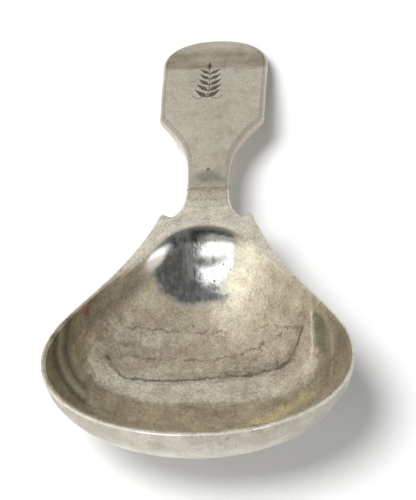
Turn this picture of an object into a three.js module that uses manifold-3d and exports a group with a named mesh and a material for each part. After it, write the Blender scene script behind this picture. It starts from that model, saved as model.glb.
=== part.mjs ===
// Caddy spoon in silver: a raised bowl with a flat land and two pointed shoulders, soldered to a forged
// handle with a fiddle outline. Millimetres, +Z up. The spoon lies on a level surface, on its bowl and on the
// turned-down end of its handle. +Y runs from the bowl to the end of the handle, and the origin is the point
// where the bowl rests.
import * as THREE from "three";
import { mergeVertices } from "three/addons/utils/BufferGeometryUtils.js";
import Module from "manifold-3d";

// Driving dimensions are in the spoon's own frame: x runs across, v runs along the axis from the line through
// the shoulders' tips towards the end of the handle, and w is up from the middle of the sheet at the land.
const SHEET = 0.7;

// Bowl
const BOWL_HALF_WIDTH = 21;
const BOWL_WIDEST_V = -28;
const BOWL_FRONT_V = -41.5;
const BOWL_DEEPEST_V = -20.5;
const BOWL_DEPTH = 12.5;
const LAND_LENGTH = 3.25;
const HOLLOW_ARC_RADIUS = 7.3;
const SHOULDER_HALF_WIDTH = 6.5;
const NOTCH_HALF_WIDTH = 4.95;
const NOTCH_DEPTH = 0.9;
const RIM_FACE = 0.3;

// Handle
const NECK_HALF_WIDTH = 3.1;
const NECK_THICKNESS = 2.2;
const JOINT_V = 5;
const CORNER_V = 19.9;
const CORNER_HALF_WIDTH = 8.05;
const END_HALF_WIDTH = 8.4;
const END_V = 42;
const ARCH_LENGTH = 8.2;
const END_THICKNESS = 1.3;
const HANDLE_RISE = 1.2;
const HANDLE_RISE_V = 24;
const END_FALL = 2.2;
const EDGE_WIDTH = 0.8;
const EDGE_DROP = 0.35;
const UNDER_EDGE_DROP = 0.45;
const UNDER_CROWN = 0.12;

// Root and solder
const ROOT_HALF_WIDTH = 3.3;
const DROP_WIDE_V = -3;
const DROP_END_V = -7;
const DROP_END_THICKNESS = 0.5;
const SOLDER = 0.12;
const LAP_GAP = 0.08;
const JOINT_GAP = 0.1;
const SOLDER_MARGIN = 0.2;

// Depth worn flat where the spoon touches the table
const WEAR = 0.12;

// Pulls of the curves in plan: how far each control point stands off the end of its curve
const RIM_PULL = 8.2;
const SHOULDER_PULL = new THREE.Vector2(5.35, -16.4);
const CUSP_PULL = new THREE.Vector2(-0.6, -0.9);
const FLARE_PULL = new THREE.Vector2(-1.25, 1.1);
const WAIST_PULL = 2.6;
const NECK_PULL = 9.4;
const CORNER_PULL = new THREE.Vector2(-3.65, -5.5);
const ARCH_SIDE_PULL = 4.8;
const ARCH_TOP_PULL = 5;
const HOLLOW_SIDE_PULL = 6;
const HOLLOW_FLANK_PULL = 10;
const ROOT_PULL = 3;

// Powers and angles of the bowl's shape. A wall is fuller the larger its number, and an angle is counted at
// the bowl's deepest point, from the handle round to the front.
const FRONT_POWER = 2.1;
const FLOOR_POWER = 2.6;
const CONTOUR_POWER = 3;
const DROP_POWER = 2.2;
const SIDE_FULLNESS = 1.9;
const FRONT_FULLNESS = 2.6;
const HEEL_EASE = 1.8;
const RIM_EASE = 0.12;
const UNDER_EASE = 1.5;
const ROOT_EASE = 4;
const WALL_FROM = THREE.MathUtils.degToRad(60);
const WALL_TO = THREE.MathUtils.degToRad(95);
const FRONT_AT = THREE.MathUtils.degToRad(150);
const EASE_FROM = THREE.MathUtils.degToRad(30);
const HOLLOW_ARC_TURN = THREE.MathUtils.degToRad(50);

// The bowl's lower contours are rounder than its outline. Behind the deepest point they take up this share of
// the way to the land, and in front of it the whole way to the front.
const HEEL_SHARE = 0.92;
const HEEL_TO = THREE.MathUtils.degToRad(40);
const FRONT_FROM = THREE.MathUtils.degToRad(115);

const archV = END_V - ARCH_LENGTH;
const stepV = JOINT_V + JOINT_GAP;
const lapDepth = LAP_GAP + SOLDER + LAP_GAP;
const heelRadius = HEEL_SHARE * (-LAND_LENGTH - BOWL_DEEPEST_V);
const frontRadius = BOWL_DEEPEST_V - BOWL_FRONT_V - SHEET;

const { smoothstep, lerp, clamp } = THREE.MathUtils;
const point2 = (x, v) => new THREE.Vector2(x, v);

const wasm = await Module();
wasm.setup();

// Outlines in plan, on the side of positive x

function superellipseQuarter(halfWidth, wideV, tipV, power, steps) {
  const points = [];
  for (let i = 0; i <= steps; i += 1) {
    const angle = (i / steps) * (Math.PI / 2);
    points.push(
      point2(
        halfWidth * Math.cos(angle) ** (2 / power),
        lerp(wideV, tipV, Math.sin(angle) ** (2 / power)),
      ),
    );
  }
  points[steps].x = 0;
  return points;
}

// From the middle of the tongue's end out to the waist, the shoulder and the widest point, and round to the
// front
function bowlOutline() {
  const waist = point2(NECK_HALF_WIDTH, JOINT_V);
  const notch = point2(NOTCH_HALF_WIDTH, -NOTCH_DEPTH);
  const shoulder = point2(SHOULDER_HALF_WIDTH, 0);
  const widest = point2(BOWL_HALF_WIDTH, BOWL_WIDEST_V);
  const flare = new THREE.CubicBezierCurve(
    waist,
    point2(NECK_HALF_WIDTH, JOINT_V - WAIST_PULL),
    notch.clone().add(FLARE_PULL),
    notch,
  );
  const cusp = new THREE.QuadraticBezierCurve(notch, shoulder.clone().add(CUSP_PULL), shoulder);
  const side = new THREE.CubicBezierCurve(
    shoulder,
    shoulder.clone().add(SHOULDER_PULL),
    point2(BOWL_HALF_WIDTH, BOWL_WIDEST_V + RIM_PULL),
    widest,
  );
  return [
    point2(0, JOINT_V),
    point2(NECK_HALF_WIDTH / 2, JOINT_V),
    ...flare.getPoints(6),
    ...cusp.getPoints(3).slice(1),
    ...side.getPoints(13).slice(1),
    ...superellipseQuarter(BOWL_HALF_WIDTH, BOWL_WIDEST_V, BOWL_FRONT_V, FRONT_POWER, 13).slice(1),
  ];
}

// Edge of the hollow: a round arc behind, flanks, and a front that keeps its distance from the rim
function hollowOutline(inset) {
  const halfWidth = BOWL_HALF_WIDTH - inset;
  const arcRadius = HOLLOW_ARC_RADIUS + SHEET - inset;
  const arcV = SHEET - inset - LAND_LENGTH - arcRadius;
  const arc = new THREE.ArcCurve(0, arcV, arcRadius, Math.PI / 2, Math.PI / 2 - HOLLOW_ARC_TURN, true);
  const arcEnd = arc.getPoint(1);
  const flank = new THREE.CubicBezierCurve(
    arcEnd,
    arcEnd.clone().addScaledVector(arc.getTangent(1), HOLLOW_FLANK_PULL),
    point2(halfWidth, BOWL_WIDEST_V + HOLLOW_SIDE_PULL),
    point2(halfWidth, BOWL_WIDEST_V),
  );
  return [
    ...arc.getPoints(24),
    ...flank.getPoints(70).slice(1),
    ...superellipseQuarter(halfWidth, BOWL_WIDEST_V, BOWL_FRONT_V + inset, FRONT_POWER, 60).slice(1),
  ];
}

// Polar form about the bowl's deepest point, with the angle counted from the handle's side

function polar(x, v) {
  return { angle: Math.atan2(Math.abs(x), v - BOWL_DEEPEST_V), radius: Math.hypot(x, v - BOWL_DEEPEST_V) };
}

function radiusTable(outline) {
  const table = outline.map((p) => polar(p.x, p.y));
  return (angle) => {
    let i = 1;
    while (i < table.length - 1 && table[i].angle < angle) i += 1;
    const share = (angle - table[i - 1].angle) / (table[i].angle - table[i - 1].angle);
    return lerp(table[i - 1].radius, table[i].radius, clamp(share, 0, 1));
  };
}

const innerEdge = radiusTable(hollowOutline(SHEET));
const outerEdge = radiusTable(hollowOutline(0));

// Height of the bowl's two faces, and of the surface that the handle's underside follows

function handleRise(v) {
  if (v <= 0) return 0;
  if (v <= HANDLE_RISE_V) return HANDLE_RISE * Math.sin(((v / HANDLE_RISE_V) * Math.PI) / 2) ** 2;
  return HANDLE_RISE - END_FALL * ((v - HANDLE_RISE_V) / (END_V - HANDLE_RISE_V)) ** 2;
}

function wallFullness(angle) {
  const side = lerp(1, SIDE_FULLNESS, smoothstep(angle, WALL_FROM, WALL_TO));
  return lerp(side, FRONT_FULLNESS, smoothstep(angle, WALL_TO, FRONT_AT));
}

// Depth below the rim. The contours change from rounded ones near the floor to the outline of the hollow.
function sunk(angle, radius, edge, spread, depth) {
  const PAST_EDGE = 1.25;
  const floor = spread + lerp(heelRadius, frontRadius, smoothstep(angle, HEEL_TO, FRONT_FROM));
  const share = radius / lerp(floor, edge, Math.min(radius / edge, PAST_EDGE) ** CONTOUR_POWER);
  const base = 1 - share ** FLOOR_POWER;
  return depth * Math.sign(base) * Math.abs(base) ** (1 / wallFullness(angle));
}

// Zero for a negative depth, the depth itself for a large one, and a fillet of the given size between
function eased(depth, ease) {
  if (depth <= -ease) return 0;
  if (depth >= ease) return depth;
  return (depth + ease) ** 2 / (4 * ease);
}

function bowlTop(x, v) {
  const { angle, radius } = polar(x, v);
  const ease = lerp(HEEL_EASE, RIM_EASE, smoothstep(angle, EASE_FROM, WALL_FROM));
  return handleRise(v) + SHEET / 2 - eased(sunk(angle, radius, innerEdge(angle), 0, BOWL_DEPTH), ease);
}

function bowlUnder(x, v, heelEase = UNDER_EASE) {
  const { angle, radius } = polar(x, v);
  const wall = smoothstep(angle, WALL_FROM, WALL_TO);
  const flange = SHEET / 2 - lerp(SHEET, RIM_FACE, wall);
  const outer = SHEET / 2 - sunk(angle, radius, outerEdge(angle), SHEET, BOWL_DEPTH + SHEET);
  return handleRise(v) + flange - eased(flange - outer, lerp(heelEase, RIM_EASE, wall));
}

function rootUnder(x, v) {
  return bowlUnder(x, v, ROOT_EASE);
}

// A point set below a surface, square to it
function below(surface, x, v, distance) {
  const step = 1e-3;
  const across = (surface(x + step, v) - surface(x - step, v)) / (2 * step);
  const along = (surface(x, v + step) - surface(x, v - step)) / (2 * step);
  const normal = new THREE.Vector3(-across, -along, 1).normalize();
  return new THREE.Vector3(x, v, surface(x, v)).addScaledVector(normal, -distance);
}

// Closed solids from rows of points

class SolidBuilder {
  points = [];
  triangles = [];

  add(point) {
    this.points.push(point);
    return this.points.length - 1;
  }

  quad(a, b, c, d) {
    this.triangles.push([a, b, c], [a, c, d]);
  }

  // Joins two rows of equal length
  strip(first, second) {
    for (let i = 0; i + 1 < first.length; i += 1) {
      this.quad(first[i], first[i + 1], second[i + 1], second[i]);
    }
  }

  geometry() {
    const position = new THREE.Float32BufferAttribute(this.points.flatMap((p) => p.toArray()), 3);
    const loose = new THREE.BufferGeometry().setAttribute("position", position);
    loose.setIndex(this.triangles.flat());
    const merged = mergeVertices(loose, 1e-4);
    const kept = [];
    const index = merged.index.array;
    for (let i = 0; i < index.length; i += 3) {
      const [a, b, c] = index.slice(i, i + 3);
      if (a !== b && b !== c && c !== a) kept.push(a, b, c);
    }
    merged.setIndex(kept);
    return merged;
  }
}

function solidOf(geometry) {
  return new wasm.Manifold(
    new wasm.Mesh({
      numProp: 3,
      vertProperties: new Float32Array(geometry.attributes.position.array),
      triVerts: new Uint32Array(geometry.index.array),
    }),
  );
}

function geometryOf(solid) {
  const mesh = solid.getMesh();
  const geometry = new THREE.BufferGeometry();
  geometry.setAttribute("position", new THREE.Float32BufferAttribute(mesh.vertProperties, 3));
  geometry.setIndex(Array.from(mesh.triVerts));
  geometry.computeVertexNormals();
  return geometry;
}

// Radii along one ray at which a face is sampled, closer together where it turns. The turn back to the level
// counts less where the land is narrow, so that neighbouring rays are sampled alike.
function rayRadii(surface, angle, edge, rim, count) {
  const DENSE = 60;
  const TURN_WEIGHT = 5;
  const LEAST_STEP = 0.02;
  const levelWeight = TURN_WEIGHT * clamp((rim - edge) / SHEET, 0, 1);
  const dense = [];
  for (let i = 0; i <= DENSE; i += 1) {
    dense.push(edge * Math.sin(((i / DENSE) * Math.PI) / 2) ** (2 / FLOOR_POWER));
  }
  for (let i = 1; i < DENSE; i += 1) {
    dense.push(lerp(edge, rim, i / DENSE));
  }
  const radii = [...dense.filter((radius) => radius < rim - LEAST_STEP), rim];
  const profile = radii.map((radius) =>
    point2(radius, surface(radius * Math.sin(angle), BOWL_DEEPEST_V + radius * Math.cos(angle))),
  );
  const reached = [0];
  let lastTurn = 0;
  for (let i = 1; i < profile.length; i += 1) {
    const step = profile[i].clone().sub(profile[i - 1]);
    const turn = Math.atan2(step.y, step.x);
    const weight = turn > lastTurn ? TURN_WEIGHT : levelWeight;
    reached.push(reached[i - 1] + step.length() + weight * Math.abs(turn - lastTurn));
    lastTurn = turn;
  }
  const total = reached[reached.length - 1];
  const picked = [];
  let i = 1;
  for (let k = 1; k < count; k += 1) {
    const goal = (total * k) / count;
    while (reached[i] < goal) i += 1;
    picked.push(lerp(radii[i - 1], radii[i], (goal - reached[i - 1]) / (reached[i] - reached[i - 1])));
  }
  return [...picked, rim];
}

function bowlGeometry() {
  const SAMPLES = 16;
  const half = bowlOutline().map((p) => polar(p.x, p.y));
  const mirrored = half.slice(1, -1).reverse();
  const rays = [
    ...half.map((ray) => ({ ...ray, side: 1 })),
    ...mirrored.map((ray) => ({ ...ray, side: -1 })),
  ];
  const build = new SolidBuilder();
  const centres = [bowlTop, bowlUnder].map((surface) =>
    build.add(new THREE.Vector3(0, BOWL_DEEPEST_V, surface(0, BOWL_DEEPEST_V))),
  );
  const rowOf = (surface, edge, { angle, radius, side }) =>
    rayRadii(surface, angle, Math.min(edge(angle), radius), radius, SAMPLES).map((r) => {
      const x = side * r * Math.sin(angle);
      const v = BOWL_DEEPEST_V + r * Math.cos(angle);
      return build.add(new THREE.Vector3(x, v, surface(x, v)));
    });
  const rows = rays.map((ray) => {
    const top = rowOf(bowlTop, innerEdge, ray);
    const under = rowOf(bowlUnder, outerEdge, ray);
    return [centres[0], ...top, ...under.reverse(), centres[1]];
  });
  rows.forEach((row, i) => build.strip(rows[(i + 1) % rows.length], row));
  return build.geometry();
}

// Points of an outline moved in by a distance, with the outline mirrored past its ends
function inset(outline, distance) {
  const normalOf = (a, b) => point2(a.y - b.y, b.x - a.x).normalize();
  const mirror = (p) => point2(-p.x, p.y);
  return outline.map((p, i) => {
    const before = i > 0 ? outline[i - 1] : mirror(outline[1]);
    const after = i + 1 < outline.length ? outline[i + 1] : mirror(outline[i - 1]);
    const first = normalOf(before, p);
    const second = normalOf(p, after);
    const miter = first.clone().add(second).divideScalar(1 + first.dot(second));
    return p.clone().addScaledVector(miter, distance(p));
  });
}

// Cross rows of a plate from its outline on the side of positive x, each point with its depth into the edge
function crossRows(outline, edgeWidth) {
  const EDGE_SHARES = [0, 0.3, 1];
  const COLUMNS = [-0.66, -0.33, 0, 0.33, 0.66];
  const loops = EDGE_SHARES.map((share) => inset(outline, (p) => share * edgeWidth(p)));
  return outline.map((unused, i) => {
    const right = loops.map((loop, edge) => ({ x: loop[i].x, v: loop[i].y, edge, across: 1 }));
    const left = right.map((p) => ({ ...p, x: -p.x }));
    const inner = right[right.length - 1];
    const middle = COLUMNS.map((share) => ({ ...inner, x: inner.x * share, across: Math.abs(share) }));
    return [...left, ...middle, ...right.reverse()];
  });
}

// A plate between two faces. Its rows run across it, and closeEnd adds the wall at a last row of full width.
function plateGeometry(rows, topOf, underOf, closeEnd) {
  const build = new SolidBuilder();
  const tops = rows.map((row) => row.map((p) => build.add(topOf(p))));
  const unders = rows.map((row) => row.map((p) => build.add(underOf(p))));
  for (let i = 0; i + 1 < rows.length; i += 1) {
    build.strip(tops[i], tops[i + 1]);
    build.strip(unders[i + 1], unders[i]);
    const last = tops[i].length - 1;
    build.quad(tops[i][0], tops[i + 1][0], unders[i + 1][0], unders[i][0]);
    build.quad(unders[i][last], unders[i + 1][last], tops[i + 1][last], tops[i][last]);
  }
  if (closeEnd) build.strip(tops[rows.length - 1], unders[rows.length - 1]);
  return build.geometry();
}

// From the tip of the drop up to the tongue's end
function rootOutline(margin, endV) {
  const halfWidth = ROOT_HALF_WIDTH - margin;
  const drop = superellipseQuarter(halfWidth, DROP_WIDE_V, DROP_END_V + margin, DROP_POWER, 9);
  const sides = new THREE.CubicBezierCurve(
    point2(halfWidth, DROP_WIDE_V),
    point2(halfWidth, DROP_WIDE_V + ROOT_PULL),
    point2(NECK_HALF_WIDTH - margin, endV - ROOT_PULL),
    point2(NECK_HALF_WIDTH - margin, endV),
  );
  return [...drop.reverse(), ...sides.getPoints(6).slice(1)];
}

// Edge width shrinks towards the end of the drop, where the outline is narrow
function rootEdgeWidth(p) {
  return EDGE_WIDTH * lerp(0.35, 1, smoothstep(p.y, DROP_END_V, JOINT_V));
}

function handleOutline() {
  const corner = point2(CORNER_HALF_WIDTH, CORNER_V);
  const neck = new THREE.CubicBezierCurve(
    point2(NECK_HALF_WIDTH, stepV),
    point2(NECK_HALF_WIDTH, stepV + NECK_PULL),
    corner.clone().add(CORNER_PULL),
    corner,
  );
  const side = new THREE.LineCurve(corner, point2(END_HALF_WIDTH, archV));
  const arch = new THREE.CubicBezierCurve(
    point2(END_HALF_WIDTH, archV),
    point2(END_HALF_WIDTH, archV + ARCH_SIDE_PULL),
    point2(ARCH_TOP_PULL, END_V),
    point2(0, END_V),
  );
  return [
    ...rootOutline(0, stepV),
    ...neck.getPoints(12).slice(1),
    ...side.getPoints(5).slice(1),
    ...arch.getPoints(12).slice(1),
  ];
}

function handleThickness(v) {
  return lerp(NECK_THICKNESS, END_THICKNESS, smoothstep(v, JOINT_V, archV));
}

// What rounding takes off at the edge, at its shoulder and, by the crown, off the middle: in millimetres on
// the handle's two faces, and as a share of the metal at the end of the drop
const EDGE_ROUNDING = [EDGE_DROP, EDGE_DROP / 3, 0];
const UNDER_ROUNDING = [UNDER_EDGE_DROP, UNDER_EDGE_DROP / 3, UNDER_CROWN];
const DROP_ROUNDING = [0.75, 0.4, 0.12];

function handleTop(p) {
  if (p.low) return below(bowlUnder, p.x, p.v, lapDepth);
  return new THREE.Vector3(p.x, p.v, handleRise(p.v) + SHEET / 2 - EDGE_ROUNDING[p.edge]);
}

function handleUnder(p) {
  const share = p.edge === UNDER_ROUNDING.length - 1 ? p.across ** 2 : 1;
  if (!p.low) {
    const metal = handleThickness(p.v) - UNDER_ROUNDING[p.edge] * share;
    return below(rootUnder, p.x, p.v, metal - SHEET);
  }
  const rootMetal = NECK_THICKNESS - SHEET - lapDepth;
  const neckShare = smoothstep(p.v, DROP_END_V, stepV);
  const full = lerp(DROP_END_THICKNESS, rootMetal, neckShare);
  const taken = lerp(DROP_ROUNDING[p.edge], UNDER_ROUNDING[p.edge] / rootMetal, neckShare) * share;
  return below(rootUnder, p.x, p.v, lapDepth + full * (1 - taken));
}

// The row at the step comes twice: once under the tongue and once level with it
function handleRows() {
  const rows = crossRows(handleOutline(), (p) => (p.y < stepV ? rootEdgeWidth(p) : EDGE_WIDTH));
  const marked = [];
  for (const row of rows) {
    const outlineV = row[0].v;
    if (outlineV <= stepV) marked.push(row.map((p) => ({ ...p, low: true })));
    if (outlineV >= stepV) marked.push(row.map((p) => ({ ...p, low: false })));
  }
  return marked;
}

function handleGeometry() {
  return plateGeometry(handleRows(), handleTop, handleUnder, false);
}

function solderGeometry() {
  const rows = crossRows(rootOutline(SOLDER_MARGIN, JOINT_V - SOLDER_MARGIN), rootEdgeWidth);
  const film = (depth) => (p) => below(bowlUnder, p.x, p.v, depth);
  return plateGeometry(rows, film(LAP_GAP), film(LAP_GAP + SOLDER), true);
}

// The spoon at rest: its keel lies on the table at the bowl and at the end of the handle

function keel(fromV, toV, heightOf) {
  const STEPS = 400;
  return Array.from({ length: STEPS + 1 }, (unused, i) => heightOf(lerp(fromV, toV, i / STEPS)));
}

function lowestOf(points, tilt) {
  const turned = points.map((p) => ({ p, z: p.z * Math.cos(tilt) - p.y * Math.sin(tilt) }));
  return turned.reduce((lowest, next) => (next.z < lowest.z ? next : lowest));
}

function restingPose() {
  const bowlKeel = keel(BOWL_FRONT_V, 0, (v) => new THREE.Vector3(0, v, bowlUnder(0, v)));
  const middle = { x: 0, edge: UNDER_ROUNDING.length - 1, across: 0, low: false };
  const handleKeel = keel(CORNER_V, END_V - EDGE_WIDTH, (v) => handleUnder({ ...middle, v }));
  let level = 0;
  let steep = Math.PI / 6;
  const HALVINGS = 40;
  for (let i = 0; i < HALVINGS; i += 1) {
    const tilt = (level + steep) / 2;
    if (lowestOf(handleKeel, tilt).z > lowestOf(bowlKeel, tilt).z) level = tilt;
    else steep = tilt;
  }
  return { tilt: level, contact: lowestOf(bowlKeel, level).p };
}

const spoon = new THREE.Group();
const { tilt, contact } = restingPose();
spoon.rotation.x = -tilt;
spoon.position.copy(contact.clone().applyEuler(spoon.rotation)).negate();
spoon.position.z -= WEAR;
spoon.updateMatrix();

// Takes off what would reach below the table, which leaves the worn flats
function worn(geometry) {
  const SLAB = 200;
  const slab = new THREE.BoxGeometry(SLAB, SLAB, SLAB);
  slab.deleteAttribute("normal");
  slab.deleteAttribute("uv");
  slab.translate(0, 0, -SLAB / 2);
  slab.applyMatrix4(spoon.matrix.clone().invert());
  return geometryOf(solidOf(geometry).subtract(solidOf(mergeVertices(slab))));
}

function silver(color, roughness) {
  return new THREE.MeshStandardMaterial({ color, roughness, metalness: 1 });
}

function addPiece(name, geometry, material) {
  const mesh = new THREE.Mesh(geometry, material);
  mesh.name = name;
  spoon.add(mesh);
}

addPiece("bowl", worn(bowlGeometry()), silver(0xb5ab9c, 0.38));
addPiece("handle", worn(handleGeometry()), silver(0xb2a899, 0.36));
addPiece("solder_seam", geometryOf(solidOf(solderGeometry())), silver(0xa89f8c, 0.5));

const part = new THREE.Group();
part.add(spoon);

export default part;
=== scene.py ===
"""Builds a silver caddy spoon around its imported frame: raised bowl, forged handle, solder and stage."""

import math
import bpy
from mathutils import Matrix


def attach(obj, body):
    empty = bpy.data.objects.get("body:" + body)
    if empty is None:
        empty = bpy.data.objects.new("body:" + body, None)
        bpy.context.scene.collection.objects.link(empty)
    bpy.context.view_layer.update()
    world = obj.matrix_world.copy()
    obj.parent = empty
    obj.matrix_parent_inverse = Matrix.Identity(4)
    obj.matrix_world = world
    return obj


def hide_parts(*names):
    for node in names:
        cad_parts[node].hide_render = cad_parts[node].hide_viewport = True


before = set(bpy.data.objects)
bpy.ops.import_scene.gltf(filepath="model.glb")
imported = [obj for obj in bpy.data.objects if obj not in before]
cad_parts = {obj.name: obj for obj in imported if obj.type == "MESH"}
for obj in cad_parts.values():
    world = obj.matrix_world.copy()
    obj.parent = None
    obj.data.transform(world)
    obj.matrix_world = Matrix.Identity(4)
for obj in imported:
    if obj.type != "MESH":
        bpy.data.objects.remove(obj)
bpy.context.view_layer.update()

from types import SimpleNamespace

import bpy
import numpy as np
from bpy.props import FloatProperty, FloatVectorProperty, IntProperty, PointerProperty
from bpy.types import Operator, Panel, PropertyGroup
from mathutils import Euler, Matrix, Vector

bl_info = {
    "name": "Caddy Spoon",
    "version": (1, 0, 0),
    "blender": (4, 5, 0),
    "location": "View3D > Sidebar > Spoon",
    "description": "Raises, forges and solders a worn silver caddy spoon, and sets it on a pale table",
    "category": "Add Mesh",
}

MM = 0.001
PER_MM = 1 / MM
QUARTER_TURN = math.pi / 2
ON_LINE = 0.000001 * MM

# Height of the photograph in pixels, and of the camera's sensor in millimetres
PHOTO_HEIGHT = 500
SENSOR = 24.0

# Powers and angles of the bowl's shape. Angles are counted at the deepest point, from the handle round.
FRONT_POWER = 2.1
FLOOR_POWER = 2.6
CONTOUR_POWER = 3
PAST_EDGE = 1.25
DROP_POWER = 2.2
SIDE_FULLNESS = 1.9
FRONT_FULLNESS = 2.6
WALL_FROM = math.radians(60)
WALL_TO = math.radians(95)
FRONT_AT = math.radians(150)
EASE_FROM = math.radians(30)
HEEL_TO = math.radians(40)
FRONT_FROM = math.radians(115)
HOLLOW_ARC_TURN = math.radians(50)
HEEL_SHARE = 0.92

# Powers of the rounding along the edges of neck, handle and drop, and what it takes off the drop
UPPER_EDGE_POWER = 3.08
LOWER_EDGE_POWER = 6.7
DROP_EDGE_POWER = 2.27
DROP_CROWN = 0.12
DROP_SIDE = 0.63

# Pulls of the curves in plan, in metres
RIM_PULL = 8.2 * MM
SHOULDER_PULL = np.array((5.35, -16.4)) * MM
CUSP_PULL = np.array((-0.6, -0.9)) * MM
FLARE_PULL = np.array((-1.25, 1.1)) * MM
WAIST_PULL = 2.6 * MM
NECK_PULL = 9.4 * MM
CORNER_PULL = np.array((-3.65, -5.5)) * MM
ARCH_SIDE_PULL = 4.8 * MM
ARCH_TOP_PULL = 5 * MM
HOLLOW_SIDE_PULL = 6 * MM
HOLLOW_FLANK_PULL = 10 * MM
ROOT_PULL = 3 * MM


def length(name, millimetres, description):
    """A size that a user can change."""
    return FloatProperty(
        name=name, description=description, default=millimetres * MM, unit="LENGTH", precision=5
    )


def tint(name, colour, description):
    """A colour that a user can change."""
    return FloatVectorProperty(
        name=name, description=description, default=colour, size=3, min=0, max=1, subtype="COLOR"
    )


def bearing(name, degrees, description):
    """An angle that a user can change."""
    return FloatProperty(name=name, description=description, default=math.radians(degrees), subtype="ANGLE")


def number(name, value, description, subtype="NONE"):
    """A plain number that a user can change."""
    return FloatProperty(name=name, description=description, default=value, subtype=subtype)


class SpoonSizes(PropertyGroup):
    """Sizes of the metal in the spoon's own frame: v runs from the shoulders to the end of the handle."""

    sheet: length("Sheet", 0.7, "Thickness of the bowl's sheet")
    half_width: length("Half width", 21, "Half the width of the bowl")
    widest_v: length("Widest place", -28, "Where the bowl is widest")
    front_v: length("Front", -41.5, "Front of the rim")
    deepest_v: length("Deepest place", -20.5, "Where the bowl is deepest")
    depth: length("Depth", 12.5, "Depth of the hollow below the rim")
    land_length: length("Land", 3.25, "Flat land between the shoulders and the hollow")
    arc_radius: length("Heel arc", 7.3, "Radius of the hollow's edge at the heel")
    shoulder_x: length("Shoulder", 6.5, "Half the distance between the shoulders' tips")
    notch_x: length("Notch", 4.95, "Half the distance between the notches")
    notch_depth: length("Notch depth", 0.9, "How far the notches lie behind the tips")
    rim_face: length("Rim face", 0.3, "Height of the rim's outer face")
    heel_ease: length("Heel fillet", 1.8, "Fillet between the land and the hollow")
    rim_ease: length("Rim fillet", 0.12, "Fillet between the rim and the wall")
    under_ease: length("Under fillet", 1.5, "Fillet below the land")
    root_ease: length("Root fillet", 4, "Fillet that the handle's root follows")
    neck_x: length("Neck", 3.1, "Half the width of the neck")
    neck_thickness: length("Neck thickness", 2.2, "Thickness of the metal at the neck")
    joint_v: length("Joint", 5, "End of the bowl's tongue")
    joint_gap: length("Joint gap", 0.1, "Gap that the solder fills at the tongue's end")
    lap: length("Lap", 0.28, "Step that the tongue's solder lies in")
    corner_v: length("Corner", 19.9, "Where the neck meets the terminal's corner")
    corner_x: length("Corner half width", 8.05, "Half the width of the terminal at its corners")
    end_x: length("End half width", 8.4, "Half the width of the terminal where its arch begins")
    end_v: length("End", 42, "End of the handle")
    arch_length: length("Arch", 8.2, "Length of the terminal's arch")
    end_thickness: length("End thickness", 1.3, "Thickness of the metal at the end")
    rise: length("Rise", 1.2, "How far the handle rises above the bowl's land")
    rise_v: length("Rise place", 24, "Where the handle is highest")
    end_fall: length("End fall", 2.2, "How far the end turns down")
    edge_width: length("Edge width", 0.8, "Width of the rounded edge")
    edge_drop: length("Edge drop", 0.35, "What rounding takes off the upper edge")
    under_drop: length("Under edge drop", 0.45, "What rounding takes off the lower edge")
    under_crown: length("Under crown", 0.12, "Crown of the handle's underside")
    root_x: length("Root", 3.3, "Half the width of the handle's root")
    drop_wide_v: length("Drop", -3, "Where the drop behind the bowl is widest")
    drop_end_v: length("Drop end", -7, "Tip of the drop")
    drop_metal: length("Drop metal", 0.5, "Thickness of the metal at the drop's tip")
    wave: length("Waviness", 0.035, "Unevenness that hand raising left in the sheet")
    cut_depth: length("Cut depth", 0.07, "Depth of the engraved lines")
    cut_width: length("Cut width", 0.1, "Half the width of a fine engraved line")
    leaves: IntProperty(name="Leaves", description="Pairs of leaves on the spray", default=5, min=1)


class SilverColours(PropertyGroup):
    """Colours of the metal and of what lies on it."""

    bright: tint("Bright silver", (0.84, 0.85, 0.83), "Metal that handling keeps bright")
    dull: tint("Dull silver", (0.62, 0.55, 0.43), "Metal under a thin grey film")
    pale: tint("Pale silver", (0.74, 0.69, 0.575), "Cleaner metal between the tide lines and outside")
    warm: tint("Warm film", (0.72, 0.62, 0.42), "Yellow first bloom of tarnish")
    brown: tint("Brown tarnish", (0.36, 0.30, 0.215), "Old tarnish below the rim")
    stain: tint("Stain", (0.11, 0.09, 0.07), "Tea stains, pits and dirt in the cuts")
    rose: tint("Rose spot", (0.42, 0.13, 0.11), "Small reddish stain by the left flank")


class StageSettings(PropertyGroup):
    """Camera, lamp and room."""

    distance: length("Distance", 230, "From the camera to its target")
    elevation: bearing("Elevation", 55.09, "Angle of the camera above the table")
    azimuth: bearing("Azimuth", 8.185, "Turn of the camera to the right of the spoon's axis")
    roll: bearing("Roll", -7.773, "Turn of the picture about the line of sight")
    target: FloatVectorProperty(
        name="Target",
        description="Point at the middle of the picture",
        default=(0.000342, 0.012982, 0.008023),
        subtype="TRANSLATION",
    )
    focal_pixels: number("Focal length", 1591.9, "In pixels of the photograph")
    key_power: number("Key light", 1.72, "Power of the lamp high on the left", "POWER")
    walls: number("Walls", 0.34, "Brightness of the room's pale walls")
    ceiling: number("Ceiling", 0.14, "Brightness of the room overhead")
    window: number("Window", 1.75, "Brightness of the window and the doorway")
    shade: number("Shade", 0.12, "Brightness of the dark side of the room, right of the camera")


# Numbers, arrays and node sockets in one arithmetic

NUMERIC = {
    "SINE": np.sin,
    "SIGN": np.sign,
    "MINIMUM": np.minimum,
    "MAXIMUM": np.maximum,
}


def maths(operation, *values):
    """Applies a Math node's operation to wires, or the same function to numbers and arrays."""
    wire = next((value for value in values if isinstance(value, Wire)), None)
    if wire is None:
        return NUMERIC[operation](*values)
    return wire.board.node("ShaderNodeMath", values, operation=operation)


def arithmetic(operation):
    """The method for an operator, and the one for its reflected form."""

    def direct(wire, other):
        return maths(operation, wire, other)

    def reflected(wire, other):
        return maths(operation, other, wire)

    return direct, reflected


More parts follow.
